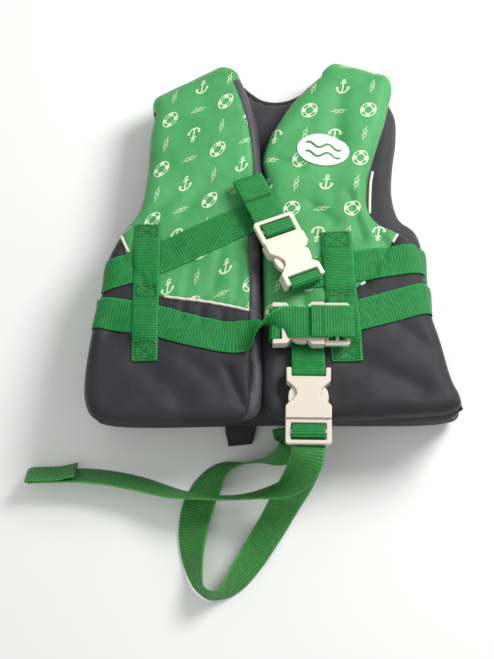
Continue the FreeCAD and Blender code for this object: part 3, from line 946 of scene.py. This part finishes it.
def build_waist_strap():
    """The waist strap, which turns over once on its way to the adjuster."""
    start = FRONTS["right"].height(np.array([[-24.0, -91.0]]), BELT_LIFT)[0] - 4.0
    profile = smooth([(84.8, start + 0.3, 6.15), (81.8, start + 0.5, 5.7),
                      (76, start + 3.0, 4.6), (69, 6.0, 2.0),
                      (62.0, 9.6, 0.2), (52, 11.4, 0), (36, 12.4, 0), (22, 12.3, 0),
                      (16, 11.9, 0), (13.8, 10.2, 0), (13.8, 3.6, 0), (12.6, 2.7, 0),
                      (6.6, 2.7, 0), (5.2, 3.8, 0), (5.2, 8.4, 0), (3.6, 10.4, 0),
                      (-0.6, 11.0, 0), (-2.8, 12.4, 0), (-0.6, 13.8, 0), (6.8, 14.3, 0),
                      (16, 14.6, 0), (29.5, 15.4, 0)], 0.9)
    centres = profile[:, [0, 2, 1]]
    share = np.clip((84 - centres[:, 0]) / 42, 0, 1)
    first_turn = int(np.argmin(centres[:, 0] > 13.9))
    share[first_turn:] = 1.0
    turn = math.pi * share ** 2 * (3 - 2 * share)
    forward = unit(np.gradient(centres, axis=0))
    level = np.column_stack([-forward[:, 1], forward[:, 0], 0 * turn])
    level[first_turn:] = (0, -1, 0)
    level = unit(level)
    upward = np.cross(level, forward)
    across = level * np.cos(turn)[:, None] + upward * np.sin(turn)[:, None]
    widths = WEBBING * (1 - 0.3 * np.sin(turn) ** 2)
    cut = int(np.argmin(centres[:, 0] > 62.0))

    def drape(points):
        return from_buckle("waist", points)

    lead = webbing("waist_lead_strip", centres[:cut + 1], across[:cut + 1], "waist_lead",
                   None, widths[:cut + 1], drape=drape)
    webbing("waist_tail_strip", centres[cut:], across[cut:], "waist_tail", "waist_plug",
            widths[cut:], drape=drape)
    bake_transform(lead)


build_waist_strap()

# ---------------------------------------------------------------- the belt loops

# where each loop stands up over the two belts, as distances along it
LOOP_OVER = {"right": ((-10.4, -47.2), (-61.6, -92.5)),
             "left": ((-19, -51.3), (-60, -94.5))}
# x where it would cross v = 0, its angle, its width, and its top and bottom
LOOPS = {"right": (-98.0, 90.0, 20.0, 2.0, -110.5),
         "left": (49.3, 93.6, 24.0, -4.0, -111.5)}
LOOP_RISE = 1.9
for side, (x, angle, width, top, bottom) in LOOPS.items():
    along = np.linspace(top, bottom, 90)
    rise = np.zeros(len(along))
    for high, low in LOOP_OVER[side]:
        middle, half = (high + low) / 2, (high - low) / 2
        bump = np.clip(1 - np.abs((along - middle) / (half + 2)) ** 6, 0, 1)
        rise = np.maximum(rise, LOOP_RISE * bump)
    turn = math.radians(angle)
    centres = np.column_stack([x + along * math.cos(turn), along * math.sin(turn),
                               rise - 0.35])
    across = np.tile([math.sin(turn), -math.cos(turn), 0.0], (len(along), 1))
    webbing(f"belt_loop_{side}_strip", centres, across, f"belt_loop_{side}", width=width,
            drape=lying(side, BELT_LIFT))

# ---------------------------------------------------------------- stitching

THREAD_RADIUS = 0.32


def stitches(name, lines, body="vest", pitch=3.0):
    """Rows of short raised stitches along lines of points, in mm."""
    made = bmesh.new()
    for line in lines:
        line = np.asarray(line, float)
        lengths = np.concatenate([[0], np.cumsum(runs_of(line))])
        for along in np.arange(pitch / 2, lengths[-1], pitch):
            ends = [np.array([np.interp(along + step, lengths, axis) for axis in line.T])
                    for step in (-0.33 * pitch, 0.33 * pitch)]
            middle, run = (ends[0] + ends[1]) / 2, ends[1] - ends[0]
            place = Vector(run).to_track_quat("Z", "Y").to_matrix().to_4x4()
            place.translation = Vector(middle) * MM
            bmesh.ops.create_cone(made, cap_ends=True, segments=6, matrix=place,
                                  radius1=THREAD_RADIUS * MM, radius2=THREAD_RADIUS * MM,
                                  depth=float(np.linalg.norm(run)) * MM)
    return finished(name, made, THREAD, None, body)


# the top and bottom of each sewn box, as distances along its loop
LOOP_BOXES = {"right": ((1, -9.5), (-49.8, -58.8), (-95.5, -108.5)),
              "left": ((-5.2, -17), (-53.2, -58.4), (-97, -109.6))}


def build_box_stitches(side):
    """A sewn box with a cross in it at each place where a belt loop is sewn down."""
    x, angle, width, _, _ = LOOPS[side]
    turn, half = math.radians(angle), width / 2 - 2.6
    lines = []
    for top, bottom in LOOP_BOXES[side]:
        corners = [(top, -half), (top, half), (bottom, half), (bottom, -half), (top, -half)]
        for row in (corners, [corners[0], corners[2]], [corners[1], corners[3]]):
            points = np.vstack([np.linspace(a, b, 12) for a, b in zip(row, row[1:])])
            along, across = points.T
            flat = np.column_stack([x + along * math.cos(turn) + across * math.sin(turn),
                                    along * math.sin(turn) - across * math.cos(turn),
                                    np.full(len(points), 0.5)])
            lines.append(lying(side, BELT_LIFT)(flat))
    stitches(f"belt_loop_{side}_stitches", lines)


# ---------------------------------------------------------------- piping, patch and tapes

PIPING_RADIUS = 1.15
PIPING_LIFT = 0.55
NECK_RADIUS = 2.9
NECK_HEIGHT = 14.6  # of the binding's middle above the floor
# where cream piping shows along each front's seam and armhole
PIPING_RUNS = {
    "right": [[(-119, -5.5), (-116.5, -12), (-112.6, -20.5)],
              [(-84, -57.9), (-68, -60.0), (-52, -62), (-35, -65.2), (-18.5, -68.9)]],
    "left": [[(98.4, -4.5), (94.2, -12)], [(71.5, -45.6), (68, -48.1)],
             [(81, 53), (79.3, 44), (78.2, 30), (77.6, 16)]],
}


def cord_piece(name, paths, radius, material, node, sides=8):
    """Round piping along each of the paths, in mm, as one piece on the vest."""
    rounds = bmesh.new()
    for path in paths:
        tangents = np.gradient(path, axis=0)
        ring = None
        for centre, tangent in zip(path, tangents):
            place = Vector(tangent).to_track_quat("Z", "Y").to_matrix().to_4x4()
            place.translation = Vector(centre) * MM
            made = bmesh.ops.create_circle(rounds, segments=sides, radius=radius * MM,
                                           matrix=place, cap_ends=ring is None)
            edges = list({e for v in made["verts"] for e in v.link_edges})
            if ring:
                bmesh.ops.bridge_loops(rounds, edges=ring + edges)
            ring = edges
        bmesh.ops.holes_fill(rounds, edges=ring)
    return finished(name, rounds, material, node)


def on_cover(side, path, lift):
    """A smooth line drawn on a front's cover, lifted off it a little."""
    flat = smooth(path, 1.5)
    return from_front(np.column_stack([flat, FRONTS[side].height(flat) + lift]))


build_box_stitches("right")
build_box_stitches("left")
# a row across each tail's folded end: how far along its buckle, and how far out
for buckle, along, rise in (("chest", -22.5, 3.95), ("waist", 20.5, 15.75)):
    row = [(along, reach, rise) for reach in np.linspace(-11, 11, 8)]
    stitches(f"{buckle}_tail_stitches", [from_buckle(buckle, row)], f"{buckle}_plug",
             pitch=2.4)

for side, runs in PIPING_RUNS.items():
    node = f"front_{side}_piping"
    paths = [on_cover(side, run, PIPING_LIFT) for run in runs]
    cord_piece(f"{node}_cord", paths, PIPING_RADIUS, PIPING, node)

NECK_LINE = smooth(NECKLINE, 2.0)
neck_path = np.column_stack([NECK_LINE, np.full(len(NECK_LINE), NECK_HEIGHT)])
cord_piece("neck_binding_tape", [neck_path], NECK_RADIUS, GREY, "neck_binding", sides=10)

PATCH_PLACE = (41.0, 67.5)
PATCH_TURN = math.radians(-8)
PATCH_HALF = (21, 14)  # half its length and half its height
PATCH_THICK = 1.3


def build_patch():
    """A soft oval patch with two waves cut through it."""
    turns = np.linspace(0, 2 * math.pi, 64, endpoint=False)
    oval = np.column_stack([np.cos(turns), np.sin(turns)]) * PATCH_HALF
    reach = np.linspace(-13.5, 13.5, 28)
    waves = [np.column_stack([reach, rise + 2 * np.sin(reach * math.pi / 8)])
             for rise in (-4.5, 3.5)]
    edges = []
    for wave in waves:
        slope = unit(np.gradient(wave, axis=0))
        normal = np.column_stack([-slope[:, 1], slope[:, 0]])
        loop = np.vstack([wave + normal, (wave - normal)[::-1]])
        edges.append(np.vstack([loop, loop[:1]]))
    flat, faces = cut_cloth(oval, edges, cell=1.3)
    centres = flat[faces].mean(1)
    kept = np.ones(len(faces), bool)
    for wave in waves:
        kept &= distance(centres, wave) > 1.0
    flat, faces = compact(flat, faces[kept])
    cos, sin = math.cos(PATCH_TURN), math.sin(PATCH_TURN)
    turned = flat @ np.array([[cos, sin], [-sin, cos]]) + PATCH_PLACE
    high = FRONTS["left"].height(turned) + 1.25
    piece = new_piece("chest_patch_oval", from_front(np.column_stack([turned, high])),
                      faces, RUBBER_PATCH, "chest_patch")
    cloth_thickness(piece, PATCH_THICK)
    bevel = piece.modifiers.new("edges", "BEVEL")
    bevel.width = 0.35 * MM
    bevel.segments = 2
    bevel.limit_method = "ANGLE"


build_patch()


def build_crotch_anchor():
    """The dark tab of cover cloth that pokes out under the back's hem."""
    path = smooth([(-24, -146, 9), (-25, -152, 8.5), (-25, -158, 6.0), (-25.5, -163, 3.2)],
                  1.0)
    across = np.tile([1.0, 0.1, 0.0], (len(path), 1))
    widths = np.linspace(27, 19, len(path))
    webbing("crotch_anchor_tab", path, across, "crotch_anchor", width=widths, material=GREY)


build_crotch_anchor()

# ---------------------------------------------------------------- the crotch strap

# the middle of the strap, in metres, and its lean: 0 is flat, 90 stands on its edge
STRAP_ROUTE = [
    (0.0254, -0.1782, 0.0769), (0.0251, -0.1845, 0.0758), (0.0224, -0.1915, 0.0700),
    (0.0185, -0.1985, 0.0480), (0.0125, -0.2065, 0.0260), (0.0065, -0.2159, 0.0110),
    (0.0000, -0.2270, 0.0075), (-0.0120, -0.2460, 0.0080), (-0.0250, -0.2660, 0.0105),
    (-0.0400, -0.2830, 0.0130), (-0.0560, -0.2800, 0.0130), (-0.0620, -0.2560, 0.0105),
    (-0.0625, -0.2310, 0.0060), (-0.0590, -0.2120, 0.0040), (-0.0500, -0.1945, 0.0060),
    (-0.0380, -0.1820, 0.0100), (-0.0169, -0.1783, 0.0130), (-0.0010, -0.1765, 0.0130),
    (0.0120, -0.1700, 0.0115), (0.0140, -0.1600, 0.0100), (0.0120, -0.1500, 0.0110)]
STRAP_LEAN = [0, 0, 2, 8, 18, 24, 28, 32, 48, 78, 78, 52, 26, 12, 24, 50, 80, 88, 120, 150,
              175]
TAIL_ROUTE = [
    (0.0254, -0.1782, 0.0799), (0.0250, -0.1855, 0.0792), (0.0215, -0.1935, 0.0700),
    (0.0155, -0.1995, 0.0560), (0.0070, -0.2030, 0.0430), (-0.0045, -0.2045, 0.0330),
    (-0.0177, -0.2065, 0.0250), (-0.0311, -0.2079, 0.0215), (-0.0456, -0.2076, 0.0215),
    (-0.0595, -0.2066, 0.0205), (-0.0720, -0.2050, 0.0170), (-0.0860, -0.2010, 0.0135),
    (-0.1000, -0.1965, 0.0122), (-0.1197, -0.1919, 0.0116), (-0.1435, -0.1886, 0.0114),
    (-0.1671, -0.1886, 0.0114), (-0.1900, -0.1894, 0.0114)]
TAIL_LEAN = [0, -6, -18, -34, -50, -64, -72, -74, -74, -72, -67, -61, -57, -55, -55, -56,
             -56]
HEM_LENGTH = 38  # of the fold at the tail's end
HEM_SEAM = 18  # how far from the end it is sewn across


def route_curve(name, route):
    """The smooth NURBS line that a strap's middle follows."""
    line = bpy.data.curves.new(name, "CURVE")
    line.dimensions = "3D"
    spline = line.splines.new("NURBS")
    spline.points.add(len(route) - 1)
    for point, place in zip(spline.points, route):
        point.co = (*place, 1.0)
    spline.order_u = 3
    spline.use_endpoint_u = True
    spline.resolution_u = 8
    holder = bpy.data.objects.new(name, line)
    mesh = bpy.data.meshes.new_from_object(holder)
    points = np.array([tuple(v.co) for v in mesh.vertices])
    bpy.data.objects.remove(holder)
    return points


def build_hem(name, line, across):
    """The tail's end, folded back on itself, sewn across and springing open a little."""
    left = np.concatenate([np.cumsum(runs_of(line)[::-1])[::-1], [0]])
    kept = left < HEM_LENGTH
    centres, sides = line[kept][::-1], across[kept][::-1]
    left = left[kept][::-1]
    outward = unit(np.cross(np.gradient(centres, axis=0), sides))
    outward *= np.where(outward[:, 1] < 0, -1, 1)[:, None]
    spring = 1.7 + 4.0 * np.clip((left - HEM_SEAM) / 20, 0, 1) ** 1.6
    back = centres + outward * spring[:, None]
    turn = [centres[0] + (centres[0] - centres[2]) * 0.25 + outward[0] * 0.85]
    # the folded hem takes the copy of the webbing that is painted paler, as lit
    flap = webbing(f"{name}_hem", np.vstack([centres[:1], turn, back]),
                   np.vstack([sides[:1], sides[:1], sides]), None, material=PAINTED_LIT_WEBBING)
    middle = int(np.argmin(np.abs(left - HEM_SEAM)))
    seam = [centres[middle] + sides[middle] * reach - outward[middle] * 0.85
            for reach in np.linspace(-11.5, 11.5, 12)]
    sewn = stitches(f"{name}_stitches", [seam], pitch=2.2)
    return [flap, sewn]


def hanging_strap(name, route, lean, nodes, hem=False):
    """A strap of webbing whose lean changes along its route."""
    line = route_curve(name + "_line", route)
    share = np.linspace(0, len(lean) - 1, len(line))
    turn = np.radians(np.interp(share, range(len(lean)), lean))
    tangents = np.gradient(line, axis=0)
    inward = unit(np.column_stack([tangents[:, 1], -tangents[:, 0], 0 * turn]))
    upward = np.cross(inward, unit(tangents))
    upward *= np.where(upward[:, 2] < 0, -1, 1)[:, None]
    across = inward * np.cos(turn)[:, None] + upward * np.sin(turn)[:, None]
    # the strap takes the copy of the webbing that is painted paler, as lit
    piece = webbing(name, line / MM, across, nodes, None, material=PAINTED_LIT_WEBBING)
    extras = build_hem(name, line / MM, across) if hem else []
    return piece


strap = hanging_strap("crotch_strap", STRAP_ROUTE, STRAP_LEAN,
                      ("crotch_strap_drop", "crotch_strap_loop"))
tail = hanging_strap("crotch_tail_strap", TAIL_ROUTE, TAIL_LEAN,
                     ("crotch_tail_drop", "crotch_tail_run"), hem=True)
for piece in (strap, tail):
    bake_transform(piece)

# ---------------------------------------------------------------- the moulded buckles

for buckle in BUCKLES:
    for part in ("socket", "plug", "arm_a", "arm_b"):
        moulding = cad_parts[f"{buckle}_buckle_{part}"]
        for slot in moulding.material_slots:
            slot.material = PLASTIC

# ---------------------------------------------------------------- floor, light and camera

FLOOR_HALF = 4.0
FLOOR_DROP = 0.001  # just under the jacket, so that they never meet


def build_floor():
    """A wide pale matt sheet, which takes the shadows."""
    made = bmesh.new()
    bmesh.ops.create_grid(made, x_segments=1, y_segments=1, size=FLOOR_HALF)
    mesh = bpy.data.meshes.new("floor")
    made.to_mesh(mesh)
    made.free()
    floor = bpy.data.objects.new("floor", mesh)
    bpy.context.scene.collection.objects.link(floor)
    material, _, shader, _ = new_material("pale_floor", 0.9)
    shader.inputs["Base Color"].default_value = colour("f6f6f5")
    mesh.materials.append(material)
    floor.location.z = -FLOOR_DROP


def build_light(name, place, size, power):
    """A round lamp of this many metres across and watts, turned to the jacket."""
    lamp = bpy.data.lights.new(name, "AREA")
    lamp.shape = "DISK"
    lamp.size = size
    lamp.energy = power
    light = bpy.data.objects.new(name, lamp)
    bpy.context.scene.collection.objects.link(light)
    light.location = place
    ahead = Vector((0, -0.05, 0)) - Vector(place)
    light.rotation_euler = ahead.to_track_quat("-Z", "Y").to_euler()


build_floor()
build_light("key", (0.52, 0.34, 0.72), 0.42, 8.2)
build_light("fill", (-0.6, -0.9, 1.6), 1.6, 5)
world = bpy.data.worlds.new("studio")
bpy.context.scene.world = world
world.use_nodes = True
studio = world.node_tree.nodes["Background"]
studio.inputs["Color"].default_value = (1, 1, 1, 1)
studio.inputs["Strength"].default_value = 0.5

CAMERA_REACH = 1.1
CAMERA_TILT = math.radians(15.0)
AIM = Vector((-0.020, -0.0725, 0.020))
view = bpy.data.cameras.new("camera")
view.lens = 75.1
bpy.context.scene.view_settings.view_transform = "Standard"
camera = bpy.data.objects.new("camera", view)
bpy.context.scene.collection.objects.link(camera)
camera.location = AIM + CAMERA_REACH * Vector((0, -math.sin(CAMERA_TILT),
                                               math.cos(CAMERA_TILT)))
camera.rotation_euler = (CAMERA_TILT, 0, 0)
bpy.context.scene.camera = camera
